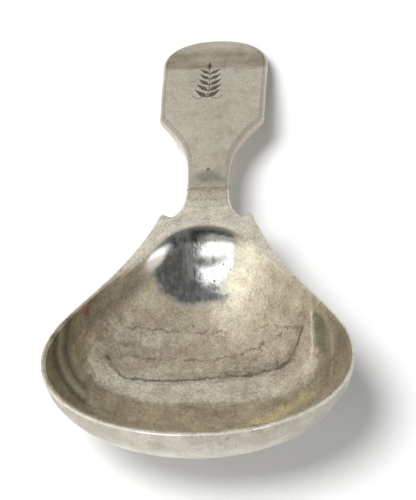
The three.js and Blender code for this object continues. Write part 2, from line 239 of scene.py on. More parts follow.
class Wire:
    """A node's output socket, which adds Math nodes when it is used in an expression."""

    __add__, __radd__ = arithmetic("ADD")
    __sub__, __rsub__ = arithmetic("SUBTRACT")
    __mul__, __rmul__ = arithmetic("MULTIPLY")
    __truediv__, __rtruediv__ = arithmetic("DIVIDE")
    __pow__, __rpow__ = arithmetic("POWER")

    def __init__(self, board, socket):
        self.board = board
        self.socket = socket

    def __neg__(self):
        return maths("MULTIPLY", self, -1)

    def __abs__(self):
        return maths("ABSOLUTE", self)

    def beside(self, name):
        """Another output of the same node."""
        return Wire(self.board, self.socket.node.outputs[name])


class Board:
    """A node tree that takes nodes one call at a time."""

    def __init__(self, tree):
        self.tree = tree

    def node(self, kind, inputs=(), output=0, **settings):
        """Adds a node, applies its settings, and fills its sockets by name or in order."""
        made = self.tree.nodes.new(kind)
        for name, value in settings.items():
            setattr(made, name, value)
        shown = [socket for socket in made.inputs if socket.enabled]
        pairs = inputs.items() if isinstance(inputs, dict) else enumerate(inputs)
        for key, value in pairs:
            socket = shown[key] if isinstance(key, int) else next(s for s in shown if s.name == key)
            if isinstance(value, Wire):
                self.tree.links.new(value.socket, socket)
            else:
                socket.default_value = value
        results = [socket for socket in made.outputs if socket.enabled]
        return Wire(self, results[output])

    def mix(self, first, second, share):
        """Blends two colours."""
        first, second = [(*c, 1) if isinstance(c, tuple) else c for c in (first, second)]
        inputs = {"Factor": share, "A": first, "B": second}
        return self.node("ShaderNodeMix", inputs, data_type="RGBA")

    def vector(self, operation, *values):
        """Adds a Vector Math node."""
        return self.node("ShaderNodeVectorMath", values, operation=operation)

    def split(self, vector):
        """The three components of a vector."""
        first = self.node("ShaderNodeSeparateXYZ", (vector,))
        return [first.beside(name) for name in "XYZ"]

    def join(self, x, y, z):
        """A vector from three components."""
        return self.node("ShaderNodeCombineXYZ", (x, y, z))

    def line(self, place, half_width):
        """One where a distance is zero, fading out at half a line's width."""
        return 1 - smooth(abs(place), half_width * 0.3, half_width)

    def end(self, kind, name, wire):
        """Adds an output node and leads a wire to its socket of a name."""
        self.tree.links.new(wire.socket, self.tree.nodes.new(kind).inputs[name])


def cleared_tree(owner):
    """The node tree of a material or a world, without the nodes that it comes with."""
    owner.use_nodes = True
    owner.node_tree.nodes.clear()
    return owner.node_tree


def clamp(value, low, high):
    return maths("MINIMUM", maths("MAXIMUM", value, low), high)


def blend(first, second, share):
    return first + (second - first) * share


def smooth(value, low, high):
    """Rises smoothly from zero at one value to one at the other, or falls where the first is the larger."""
    share = clamp((value - low) / (high - low), 0, 1)
    return share * share * (3 - 2 * share)


def between(value, low, first, last, high):
    """One between two values, falling smoothly to zero outside them."""
    return smooth(value, low, first) * smooth(value, high, last)


# Curves in plan, as rows of x and v on the side of positive x


def cubic(start, start_handle, end_handle, end, steps):
    t = np.linspace(0, 1, steps + 1)[:, None]
    points = (start, start_handle, end_handle, end)
    start, start_handle, end_handle, end = (np.array(point) for point in points)
    ends = start * (1 - t) ** 3 + end * t**3
    return ends + 3 * start_handle * t * (1 - t) ** 2 + 3 * end_handle * t**2 * (1 - t)


def superellipse_quarter(half_width, wide_v, tip_v, power, steps):
    angle = np.linspace(0, QUARTER_TURN, steps + 1)
    x = half_width * np.cos(angle).clip(0) ** (2 / power)
    x[-1] = 0
    return np.stack([x, blend(wide_v, tip_v, np.sin(angle) ** (2 / power))], 1)


def bowl_outline(s):
    """From the middle of the tongue's end round the notch and the shoulder to the middle of the front."""
    waist = np.array((s.neck_x, s.joint_v))
    notch = np.array((s.notch_x, -s.notch_depth))
    shoulder = np.array((s.shoulder_x, 0))
    widest = np.array((s.half_width, s.widest_v))
    end_x = s.neck_x * np.sin(np.linspace(0, QUARTER_TURN, 21))[:-1]
    end = np.stack([end_x, np.full_like(end_x, s.joint_v)], 1)
    flare = cubic(waist, waist - (0, WAIST_PULL), notch + FLARE_PULL, notch, 26)
    t = np.linspace(0, 1, 10)[:, None]
    cusp = notch * (1 - t) ** 2 + 2 * (shoulder + CUSP_PULL) * t * (1 - t) + shoulder * t**2
    side = cubic(shoulder, shoulder + SHOULDER_PULL, widest + (0, RIM_PULL), widest, 90)
    front = superellipse_quarter(s.half_width, s.widest_v, s.front_v, FRONT_POWER, 90)
    return np.vstack([end, flare, cusp[1:], side[1:], front[1:]])


def hollow_outline(s, inset):
    """Edge of the hollow: a round arc behind, flanks, and a front that keeps its distance from the rim."""
    half_width = s.half_width - inset
    radius = s.arc_radius + s.sheet - inset
    arc_v = s.sheet - inset - s.land_length - radius
    angle = QUARTER_TURN - np.linspace(0, HOLLOW_ARC_TURN, 49)
    arc = np.stack([radius * np.cos(angle), arc_v + radius * np.sin(angle)], 1)
    tangent = np.array((math.sin(angle[-1]), -math.cos(angle[-1])))
    widest = np.array((half_width, s.widest_v))
    flank_handle = arc[-1] + tangent * HOLLOW_FLANK_PULL
    flank = cubic(arc[-1], flank_handle, widest + (0, HOLLOW_SIDE_PULL), widest, 140)
    front = superellipse_quarter(half_width, s.widest_v, s.front_v + inset, FRONT_POWER, 120)
    return np.vstack([arc, flank[1:], front[1:]])


def root_outline(s, margin, end_v):
    """From the tip of the drop to the tongue's end."""
    half_width = s.root_x - margin
    drop = superellipse_quarter(half_width, s.drop_wide_v, s.drop_end_v + margin, DROP_POWER, 30)
    neck_x = s.neck_x - margin
    sides = cubic(
        (half_width, s.drop_wide_v),
        (half_width, s.drop_wide_v + ROOT_PULL),
        (neck_x, end_v - ROOT_PULL),
        (neck_x, end_v),
        30,
    )
    return np.vstack([drop[::-1], sides[1:]])


def handle_outline(s):
    """From the tip of the drop along the neck and the terminal to the middle of its end."""
    step_v = s.joint_v + s.joint_gap
    arch_v = s.end_v - s.arch_length
    corner = np.array((s.corner_x, s.corner_v))
    neck = cubic((s.neck_x, step_v), (s.neck_x, step_v + NECK_PULL), corner + CORNER_PULL, corner, 54)
    t = np.linspace(0, 1, 211)[:, None]
    side = corner * (1 - t) + np.array((s.end_x, arch_v)) * t
    side_handle = (s.end_x, arch_v + ARCH_SIDE_PULL)
    arch = cubic((s.end_x, arch_v), side_handle, (ARCH_TOP_PULL, s.end_v), (0, s.end_v), 64)
    return np.vstack([root_outline(s, 0, step_v), neck[1:], side[1:], arch[1:]])


def polar(s, x, v):
    """Angle and radius about the bowl's deepest point."""
    return np.arctan2(np.abs(x), v - s.deepest_v), np.hypot(x, v - s.deepest_v)


def edge_radius(s, inset, wanted):
    """The radius of the hollow's edge at the wanted angles."""
    angle, radius = polar(s, *hollow_outline(s, inset).T)
    return np.interp(wanted, angle, radius)


# The bowl's two faces. The same formulas shape arrays of points and the sockets of a node tree.


def handle_rise(s, v):
    up = s.rise * maths("SINE", clamp(v / s.rise_v, 0, 1) * QUARTER_TURN) ** 2
    past = maths("MAXIMUM", (v - s.rise_v) / (s.end_v - s.rise_v), 0)
    return up - s.end_fall * past**2


def wall_fullness(angle):
    side = blend(1, SIDE_FULLNESS, smooth(angle, WALL_FROM, WALL_TO))
    return blend(side, FRONT_FULLNESS, smooth(angle, WALL_TO, FRONT_AT))


def contour_radius(s, angle):
    """Radius of the round contours near the floor."""
    heel = HEEL_SHARE * (-s.land_length - s.deepest_v)
    front = s.deepest_v - s.front_v - s.sheet
    return blend(heel, front, smooth(angle, HEEL_TO, FRONT_FROM))


def sunk(s, angle, radius, edge, spread, depth):
    """Depth below the rim, from rounded contours near the floor to the outline of the hollow."""
    floor = spread + contour_radius(s, angle)
    share = radius / blend(floor, edge, clamp(radius / edge, 0, PAST_EDGE) ** CONTOUR_POWER)
    base = 1 - share**FLOOR_POWER
    return depth * maths("SIGN", base) * abs(base) ** (1 / wall_fullness(angle))


def eased(depth, ease):
    """Zero for a negative depth, the depth itself for a large one, and a fillet between."""
    near = clamp(depth + ease, 0, 2 * ease)
    return near * near / (4 * ease) + maths("MAXIMUM", depth - ease, 0)


def bowl_top(s, v, angle, radius, edge):
    ease = blend(s.heel_ease, s.rim_ease, smooth(angle, EASE_FROM, WALL_FROM))
    return handle_rise(s, v) + s.sheet / 2 - eased(sunk(s, angle, radius, edge, 0, s.depth), ease)


def bowl_under(s, v, angle, radius, edge, heel_ease):
    wall = smooth(angle, WALL_FROM, WALL_TO)
    flange = s.sheet / 2 - blend(s.sheet, s.rim_face, wall)
    outer = s.sheet / 2 - sunk(s, angle, radius, edge, s.sheet, s.depth + s.sheet)
    return handle_rise(s, v) + flange - eased(flange - outer, blend(heel_ease, s.rim_ease, wall))


def under_surface(s, heel_ease):
    """Height of the bowl's underside over arrays of x and v."""

    def height(x, v):
        angle, radius = polar(s, x, v)
        return bowl_under(s, v, angle, radius, edge_radius(s, 0, angle), heel_ease)

    return height


def below(surface, x, v, distance):
    """Points set below a surface, square to it."""
    STEP = 0.001 * MM
    across = (surface(x + STEP, v) - surface(x - STEP, v)) / (2 * STEP)
    along = (surface(x, v + STEP) - surface(x, v - STEP)) / (2 * STEP)
    normal = np.stack([-across, -along, np.ones_like(across)], -1)
    normal /= np.linalg.norm(normal, axis=-1, keepdims=True)
    return np.stack([x, v, surface(x, v)], -1) - normal * np.asarray(distance)[..., None]


def handle_thickness(s, v):
    return blend(s.neck_thickness, s.end_thickness, smooth(v, s.joint_v, s.end_v - s.arch_length))


def upper_rounding(s, share):
    """What rounding takes off the upper edge, at a share of the way in."""
    return s.edge_drop * (1 - share) ** UPPER_EDGE_POWER


def resting_pose(s):
    """Tilt and place at which the bowl's keel and the end of the handle touch the table."""
    STEPS = 400
    HALVINGS = 40
    STEEPEST = math.radians(30)
    WEAR = 0.12 * MM
    bowl_v = np.linspace(s.front_v, 0, STEPS + 1)
    bowl_w = under_surface(s, s.under_ease)(np.zeros_like(bowl_v), bowl_v)
    handle_v = np.linspace(s.corner_v, s.end_v - s.edge_width, STEPS + 1)
    metal = handle_thickness(s, handle_v) - s.sheet
    handle_under = below(under_surface(s, s.root_ease), np.zeros_like(handle_v), handle_v, metal)

    def heights(tilt, v, w):
        return w * math.cos(tilt) - v * math.sin(tilt)

    level, steep = 0, STEEPEST
    for _ in range(HALVINGS):
        tilt = (level + steep) / 2
        if heights(tilt, *handle_under[:, 1:].T).min() > heights(tilt, bowl_v, bowl_w).min():
            level = tilt
        else:
            steep = tilt
    lowest = heights(level, bowl_v, bowl_w).argmin()
    v, w = bowl_v[lowest], bowl_w[lowest]
    y = -(v * math.cos(level) + w * math.sin(level))
    return SimpleNamespace(tilt=level, y=y, z=-heights(level, v, w) - WEAR)


# Meshes


def mesh_of(name, points, faces, **measures):
    """A mesh with one float attribute for each measure."""
    mesh = bpy.data.meshes.new(name)
    mesh.from_pydata(points.tolist(), [], faces)
    for key, values in measures.items():
        data = mesh.attributes.new(key, "FLOAT", "POINT").data
        data.foreach_set("value", np.ravel(values).astype(np.float32))
    return mesh


def ring_faces(rings, around):
    """Quads between neighbouring rings of points that run once round."""
    i, j = np.meshgrid(np.arange(rings - 1), np.arange(around), indexing="ij")
    turn = (j + 1) % around
    corners = [i * around + j, i * around + turn, (i + 1) * around + turn, (i + 1) * around + j]
    return np.stack(corners, -1).reshape(-1, 4).tolist()


def distance_to(line, points):
    """Distance of each point to the nearest piece of a line in plan."""
    start, along = line[:-1], np.diff(line, axis=0)
    away = points[:, None] - start[None]
    share = ((away * along).sum(-1) / (along**2).sum(-1)).clip(0, 1)
    return np.linalg.norm(away - share[..., None] * along, axis=-1).min(1)


def bowl_blank(s):
    """The flat sheet as rings round the deepest point, with what the raising needs at each point."""
    FLOOR_RINGS = 52
    EDGE_SHARES = (0.9999, 0.99998)
    LAND_RINGS = 12
    LAND_SPREAD = 1.4
    FACE_SHARES = np.array((0.12, 0.5, 0.88))
    TONGUE_POINTS = 34
    CRISP_END = 0.4 * MM
    CRISP_FADE = 3 * MM
    ROUND_FROM = -1.6 * MM
    ROUND_TO = 1.2 * MM
    half = bowl_outline(s)
    outline = np.vstack([half, half[1:-1][::-1] * (-1, 1)])
    side = np.sign(outline[:, 0])
    angle, rim = polar(s, *outline.T)
    steps = np.sin(np.arange(1, FLOOR_RINGS + 1) / FLOOR_RINGS * QUARTER_TURN) ** (2 / FLOOR_POWER)
    shares = np.array([*steps[:-1], *EDGE_SHARES, 1])[:, None]
    outward = (np.arange(1, LAND_RINGS + 1)[:, None] / LAND_RINGS) ** LAND_SPREAD

    def rings_of(edge):
        return np.vstack([shares * edge, edge + (rim - edge) * outward])

    inner = np.minimum(edge_radius(s, s.sheet, angle), rim)
    outer = np.minimum(edge_radius(s, 0, angle), rim)
    top = rings_of(inner)
    under = rings_of(outer)[::-1]
    radius = np.vstack([top, np.repeat(rim[None], len(FACE_SHARES), 0), under])
    layer = np.concatenate([np.zeros(len(top)), FACE_SHARES, np.ones(len(under))])[:, None] + 0 * radius
    soft = np.zeros_like(radius)
    last = len(top) - 1
    soft[last - 1 : last + len(FACE_SHARES) + 2] = 1
    soft[last - LAND_RINGS - 2 : last - LAND_RINGS + 2] = smooth(angle, WALL_FROM, WALL_TO)
    x = side * radius * np.sin(angle)
    v = s.deepest_v + radius * np.cos(angle)
    crisp_v = s.joint_v - CRISP_END
    soft *= smooth(v, crisp_v, crisp_v - CRISP_FADE)

    # Edges of the tongue are rounded as the neck's are, so the two run on
    tongue = half[(half[:, 1] < s.joint_v - ON_LINE) & (half[:, 1] > -s.notch_depth - ON_LINE)]
    near = (v > -s.land_length) & (np.abs(x) < s.shoulder_x)
    depth_in = np.full_like(v, s.edge_width)
    points = np.stack([np.abs(x[near]), v[near]], 1)
    depth_in[near] = distance_to(np.vstack([(s.neck_x, s.joint_v), tongue[:TONGUE_POINTS]]), points)
    fade = smooth(v, ROUND_FROM, ROUND_TO)
    dropped = upper_rounding(s, (depth_in / s.edge_width).clip(0, 1)) * fade * (1 - layer)

    margin = np.zeros_like(radius)
    margin[: len(top)] = np.maximum(rim - top, 0)

    def gather(first, rings, final):
        return np.concatenate([[first], rings.ravel(), [final]])

    x = gather(0, x, 0)
    v = gather(s.deepest_v, v, s.deepest_v)
    around = len(outline)
    rings = len(radius)
    faces = [[c + 1 for c in face] for face in ring_faces(rings, around)]
    final = rings * around + 1
    outermost = final - around
    for i in range(around):
        turn = (i + 1) % around
        faces.append([0, 1 + turn, 1 + i])
        faces.append([final, outermost + i, outermost + turn])
    every = np.ones((rings, 1))
    measures = {
        "angle": (0, angle * every, 0),
        "radius": (0, radius, 0),
        "inner": (inner[0], inner * every, inner[0]),
        "outer": (outer[0], outer * every, outer[0]),
        "layer": (0, layer, 1),
        "soft": (0, soft, 0),
        "dropped": (0, dropped, 0),
        "margin": (margin[0, 0], margin, 0),
    }
    measures = {name: gather(*values) for name, values in measures.items()}
    return mesh_of("raised_bowl", np.stack([x, v, np.zeros_like(x)], 1), faces, **measures)


def inset(outline, distance):
    """Points of an outline moved in by a distance each, with the outline mirrored past its ends."""
    before = np.vstack([outline[1] * (-1, 1), outline[:-1]])
    after = np.vstack([outline[1:], outline[-2] * (-1, 1)])

    def normals(a, b):
        turned = np.stack([a[:, 1] - b[:, 1], b[:, 0] - a[:, 0]], 1)
        return turned / np.linalg.norm(turned, axis=1, keepdims=True)

    first, second = normals(before, outline), normals(outline, after)
    miter = (first + second) / (1 + (first * second).sum(1, keepdims=True))
    return outline + miter * distance[:, None]


def root_edge_width(s, v):
    """The edge narrows towards the end of the drop."""
    NARROWEST = 0.35
    return s.edge_width * blend(NARROWEST, 1, smooth(v, s.drop_end_v, s.joint_v))


def trimmed(moved, corner):
    """Gathers in a corner's own point what an inset of the sides would cross over there."""
    before, after = moved[:corner], moved[corner + 1 :]
    before[before[:, 1] > moved[corner, 1]] = moved[corner]
    after[after[:, 1] < moved[corner, 1]] = moved[corner]
    return moved


def section_rows(outline, edge_width, columns, corner=0):
    """Across each row: x, v, share of the way into the edge, and share of the way across."""
    EDGE_SHARES = np.array((0, 0.06, 0.14, 0.24, 0.36, 0.5, 0.68, 0.84, 1))
    loops = np.stack([trimmed(inset(outline, share * edge_width), corner) for share in EDGE_SHARES], 1)
    inner = loops[:, -1]
    middle = np.stack([inner[:, :1] * columns, np.repeat(inner[:, 1:], len(columns), 1)], -1)
    rows = np.concatenate([loops * (-1, 1), middle, loops[:, ::-1]], 1)
    edge = np.concatenate([EDGE_SHARES, np.ones(len(columns)), EDGE_SHARES[::-1]])
    whole = np.ones(len(EDGE_SHARES))
    return rows, edge, np.concatenate([whole, np.abs(columns), whole])


def tube(name, tops, unders, edge, polish):
    """A closed solid whose rows each run over the top, down the wall, back below and up again."""
    WALL = np.array((0.2, 0.5, 0.8))[:, None]

    def wall(start, end):
        return start[:, None] * (1 - WALL) + end[:, None] * WALL

    right, left = wall(tops[:, -1], unders[:, -1]), wall(unders[:, 0], tops[:, 0])
    rows = np.concatenate([tops, right, unders[:, ::-1], left], 1)
    count, around = rows.shape[:2]
    soft = np.zeros(around)
    top, under = tops.shape[1], unders.shape[1]
    under_from = top + len(WALL)
    for corner in (top - 1, under_from, under_from + under - 1, around):
        for step in (-1, 0, 1):
            soft[(corner + step) % around] = 1
    upper = np.zeros(around)
    upper[:top] = 1
    flat = np.concatenate([edge, np.zeros(len(WALL)), edge, np.zeros(len(WALL))])
    every = np.ones((count, 1))
    measures = {"soft": soft * polish[:, None], "upper": upper * every, "inset": flat * every}
    return mesh_of(name, rows.reshape(-1, 3), ring_faces(count, around), **measures)


def under_rounding(s, edge, across):
    """What rounding takes off below, and the share of it that is taken at a place across."""
    side = s.under_crown + (s.under_drop - s.under_crown) * (1 - edge) ** LOWER_EDGE_POWER
    return side, np.where(edge < 1, 1, across**2)


def handle_blank(s):
    """The forged handle, with its root stepped down below the bowl's tongue."""
    CRISP_STEP = 4 * MM
    step_v = s.joint_v + s.joint_gap
    outline = handle_outline(s)
    v = outline[:, 1]
    width = np.where(v < step_v, root_edge_width(s, v), s.edge_width)

    # Columns of points stand closest where the spray is cut
    left, cut, right = np.linspace(-0.97, -0.53, 9), np.linspace(-0.5, 0.3, 84), np.linspace(0.34, 0.97, 12)
    columns = np.concatenate([left, cut, right])
    corner = np.hypot(*(outline - (s.corner_x, s.corner_v)).T).argmin()
    rows, edge, across = section_rows(outline, width, columns, corner)
    below_step, above_step = v <= step_v + ON_LINE, v >= step_v - ON_LINE
    root, neck = rows[below_step], rows[above_step]
    side, crown = under_rounding(s, edge, across)

    under_of, root_of = under_surface(s, s.under_ease), under_surface(s, s.root_ease)
    root_top = below(under_of, root[..., 0], root[..., 1], s.lap)
    neck_height = handle_rise(s, neck[..., 1]) + s.sheet / 2 - upper_rounding(s, edge)
    neck_top = np.concatenate([neck, neck_height[..., None]], -1)

    metal = s.neck_thickness - s.sheet - s.lap
    past_drop = smooth(root[..., 1], s.drop_end_v, step_v)
    drop = DROP_CROWN + DROP_SIDE * (1 - edge) ** DROP_EDGE_POWER
    remaining = 1 - blend(drop, side / metal, past_drop) * crown
    root_depth = s.lap + blend(s.drop_metal, metal, past_drop) * remaining
    neck_depth = handle_thickness(s, neck[..., 1]) - side * crown - s.sheet
    root_under = below(root_of, root[..., 0], root[..., 1], root_depth)
    neck_under = below(root_of, neck[..., 0], neck[..., 1], neck_depth)
    tops, unders = np.concatenate([root_top, neck_top]), np.concatenate([root_under, neck_under])
    polish = smooth(abs(v - step_v), 0, CRISP_STEP)
    polish = np.concatenate([polish[below_step], polish[above_step]])
    return tube("forged_handle", tops, unders, edge, polish)


def solder_blank(s):
    """The solder that fills the lap below the tongue, and stands in the joint at the tongue's end."""
    PROUD = 0.06 * MM
    BITE = 0.012 * MM
    SUNK = 0.004 * MM
    outline = root_outline(s, -PROUD, s.joint_v + s.joint_gap + BITE)
    columns = np.linspace(-0.9, 0.9, 19)
    rows, edge, across = section_rows(outline, root_edge_width(s, outline[:, 1]), columns)
    under_of = under_surface(s, s.under_ease)
    x, v = rows[..., 0], rows[..., 1]
    joint = smooth(v, s.joint_v - BITE, s.joint_v)
    flush = handle_rise(s, v) + s.sheet / 2 - upper_rounding(s, edge) - SUNK
    tops = below(under_of, x, v, -BITE)
    tops[..., 2] = blend(tops[..., 2], flush, joint)
    tops[..., 1] = np.maximum(tops[..., 1], blend(-1, s.joint_v - BITE, joint > 0))
    unders = below(under_of, x, v, s.lap + BITE)
    return tube("solder_line", tops, unders, edge, np.zeros(len(outline)))


# Geometry node trees


class ShapeBoard(Board):
    """A geometry tree with a named input for each size and the resting pose, and the shape so far."""

    def __init__(self, name, inputs):
        super().__init__(bpy.data.node_groups.new(name, "GeometryNodeTree"))
        sockets = self.tree.interface.new_socket
        sockets("Geometry", in_out="INPUT", socket_type="NodeSocketGeometry")
        for key in (*inputs, "tilt", "y", "z"):
            sockets(key, in_out="INPUT", socket_type="NodeSocketFloat")
        sockets("Geometry", in_out="OUTPUT", socket_type="NodeSocketGeometry")
        given = self.tree.nodes.new("NodeGroupInput").outputs
        self.given = SimpleNamespace(**{socket.name: Wire(self, socket) for socket in given if socket.name})
        self.shape = self.given.Geometry

    def change(self, kind, **inputs):
        """Leads the shape so far through a node."""
        self.shape = self.node("GeometryNode" + kind, {"Geometry": self.shape, **inputs})

    def position(self):
        return self.node("GeometryNodeInputPosition")

    def measure(self, name):
        """Reads one of the mesh's float attributes."""
        return self.node("GeometryNodeInputNamedAttribute", {"Name": name}, data_type="FLOAT")

    def merge(self):
        """Joins the points that lie in one place."""
        self.change("MergeByDistance", Distance=0.0001 * MM)

    def polish(self, rounds):
        """Rounds the edges that are marked soft, as polishing does."""
        inputs = {"Value": self.position(), "Iterations": rounds, "Weight": self.measure("soft")}
        blurred = self.node("GeometryNodeBlurAttribute", inputs, data_type="FLOAT_VECTOR")
        self.change("SetPosition", Position=blurred)

    def wave(self, height):
        """Leaves the slow unevenness of hand work in the sheet, but not at its edges."""
        WAVES_PER_METRE = 150.0
        inputs = {"Vector": self.position(), "Scale": WAVES_PER_METRE, "Detail": 1.5}
        slow = self.node("ShaderNodeTexNoise", inputs)
        amount = (slow - 0.5) * 2 * height * (1 - self.measure("soft"))
        inputs = {"Vector": self.node("GeometryNodeInputNormal"), "Scale": amount}
        offset = self.node("ShaderNodeVectorMath", inputs, operation="SCALE")
        self.change("SetPosition", Offset=offset)

    def rest(self, material):
        """Lays the piece on the table, wears flat what would reach below it, and ends the tree."""
        x, v, w = self.split(self.position())
        cosine, sine = maths("COSINE", self.given.tilt), maths("SINE", self.given.tilt)
        y = v * cosine + w * sine + self.given.y
        z = w * cosine - v * sine + self.given.z
        self.change("SetPosition", Position=self.join(x, y, maths("MAXIMUM", z, 0)))
        self.change("SetShadeSmooth")
        self.change("RealizeInstances")
        self.change("SetMaterial", Material=material)
        self.end("NodeGroupOutput", "Geometry", self.shape)
        return self.tree


BOWL_INPUTS = (
    "sheet", "depth", "land_length", "deepest_v", "front_v", "rim_face", "heel_ease", "rim_ease",
    "under_ease", "rise", "rise_v", "end_v", "end_fall", "wave",
)


def raising_tree(material):
    """Raises the flat blank to the bowl's two faces, polishes it and lays it down."""
    board = ShapeBoard("Raised bowl", BOWL_INPUTS)
    given, measure = board.given, board.measure
    x, v, _ = board.split(board.position())
    angle, radius = measure("angle"), measure("radius")
    top = bowl_top(given, v, angle, radius, measure("inner")) - measure("dropped")
    under = bowl_under(given, v, angle, radius, measure("outer"), given.under_ease)
    height = blend(top, under, measure("layer"))
    board.change("SetPosition", Position=board.join(x, v, height))
    board.merge()
    board.polish(3)
    board.wave(given.wave)
    return board.rest(material)


def leaf_spray(board, pairs):
    """The lines and the leaves of a small laurel spray, drawn flat in the spoon's own plan."""
    MIDDLE = -0.9
    FOOT = 24.6
    HEIGHT = 7.6
    LEAN = 0.8
    LEAF_WIDTH, LEAF_BELOW, LEAF_ABOVE, LEAF_REACH = 0.8, 0.9, 1.5, 1.05
    LOWEST_SCALE, SCALE_LOSS = 1.08, 0.3

    def flat(x, v):
        return (x * MM, v * MM, 0)

    def arc(*points):
        return board.node("GeometryNodeCurveQuadraticBezier", (16, *[flat(*point) for point in points]))

    stem = arc((MIDDLE, FOOT), (MIDDLE + 0.5, FOOT + HEIGHT / 2), (MIDDLE, FOOT + HEIGHT))
    curls = [
        arc((MIDDLE, FOOT + 0.9), (MIDDLE + side * 1.5, FOOT - 1.2), (MIDDLE + side * 2.3, FOOT + 0.5))
        for side in (-1, 1)
    ]
    sides = (LEAF_WIDTH * MM, LEAF_BELOW * MM, LEAF_ABOVE * MM)
    kite = board.node("GeometryNodeCurvePrimitiveQuadrilateral", sides, mode="KITE")
    leaf = board.node("GeometryNodeFillCurve", {"Curve": kite})
    leaf = board.node("GeometryNodeTransform", {"Geometry": leaf, "Translation": flat(0, LEAF_REACH)})
    points = board.node("GeometryNodeCurveToPoints", {"Curve": stem, "Count": pairs + 1}, mode="COUNT")
    share = board.node("GeometryNodeInputIndex") / pairs
    leaves = []
    for side in (-1, 1):
        turn = side * LEAN * (1 - smooth(share, 0.9, 1) * 0.97)
        grown = LOWEST_SCALE - share * SCALE_LOSS
        inputs = {
            "Points": points,
            "Instance": leaf,
            "Rotation": board.join(0, 0, turn),
            "Scale": board.join(grown, grown, grown),
        }
        leaves.append(board.node("GeometryNodeInstanceOnPoints", inputs))
    leaves = board.node("GeometryNodeRealizeInstances", {"Geometry": joined(board, leaves)})
    return joined(board, [stem, *curls]), leaves


def joined(board, parts):
    node = board.tree.nodes.new("GeometryNodeJoinGeometry")
    for part in parts:
        board.tree.links.new(part.socket, node.inputs["Geometry"])
    return Wire(board, node.outputs["Geometry"])


def cut_profile(board, target, element, width):
    """One in the middle of the strokes, falling to zero at a distance."""
    x, v, _ = board.split(board.position())
    inputs = {0: target, "Sample Position": board.join(x, v, 0)}
    away = board.node("GeometryNodeProximity", inputs, output=1, target_element=element)
    return 1 - smooth(away, width * 0.3, width)


HANDLE_INPUTS = ("cut_depth", "cut_width", "leaves")


def engraving_tree(material):
    """Cuts the spray into the handle's upper face, polishes the edges and lays the handle down."""
    board = ShapeBoard("Engraved handle", HANDLE_INPUTS)
    lines, leaves = leaf_spray(board, board.given.leaves)
    lines = board.node("GeometryNodeCurveToMesh", {"Curve": lines})
    fine = cut_profile(board, lines, "EDGES", board.given.cut_width)
    broad = cut_profile(board, leaves, "FACES", board.given.cut_width)
    cut = maths("MAXIMUM", fine, broad) * board.measure("upper")
    board.merge()
    inputs = {"Geometry": board.shape, "Name": "cut", "Value": cut}
    stored = {"data_type": "FLOAT", "domain": "POINT"}
    board.shape = board.node("GeometryNodeStoreNamedAttribute", inputs, **stored)
    board.change("SetPosition", Offset=board.join(0, 0, -(board.measure("cut") * board.given.cut_depth)))
    board.polish(2)
    return board.rest(material)


def solder_tree(material):
    """Lays the solder down with the other pieces."""
    board = ShapeBoard("Solder line", ())
    board.merge()
    return board.rest(material)


def finished_piece(mesh, tree, values, material, node):
    """Runs a tree on a blank, keeps the result as a plain mesh, and puts it in its CAD node's place."""
    name = mesh.name
    blank = bpy.data.objects.new(name, mesh)
    bpy.context.scene.collection.objects.link(blank)
    modifier = blank.modifiers.new("Shape", "NODES")
    modifier.node_group = tree
    for socket in tree.interface.items_tree:
        if socket.in_out == "INPUT" and socket.name in values:
            modifier[socket.identifier] = float(values[socket.name])
    graph = bpy.context.evaluated_depsgraph_get()
    shaped = bpy.data.meshes.new_from_object(blank.evaluated_get(graph), depsgraph=graph)
    blank.modifiers.clear()
    blank.data = shaped
    bpy.data.meshes.remove(mesh)
    shaped.name = name
    shaped.materials.clear()
    shaped.materials.append(material)
    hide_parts(node)
    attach(blank, "root")
    return blank


# Silver

WHITE = (1.0, 1.0, 1.0)
RUDDY_FILM = (0.47, 0.37, 0.285)
UMBER_CLOUD = (0.3, 0.255, 0.19)
OUTER_DULL = (0.45, 0.42, 0.35)
OUTER_PALE = (0.68, 0.66, 0.59)
RUN_GROUND = (0.24, 0.215, 0.155)
RUN_LINE = (0.13, 0.13, 0.095)
GOLDEN_SMEAR = (0.64, 0.54, 0.29)
GREEN_STREAK = (0.2, 0.2, 0.14)
# Colours of painted reflections at the heel: warm glow, dark fillet, and the dark and lit room it mirrors
HEEL_WARM_REFLECTION = (0.82, 0.765, 0.6)
FILLET_DARK_REFLECTION = (0.13, 0.125, 0.1)
PAINTED_MIRROR_DARK = (0.035, 0.04, 0.04)
PAINTED_MIRROR_LIT = (0.28, 0.29, 0.27)


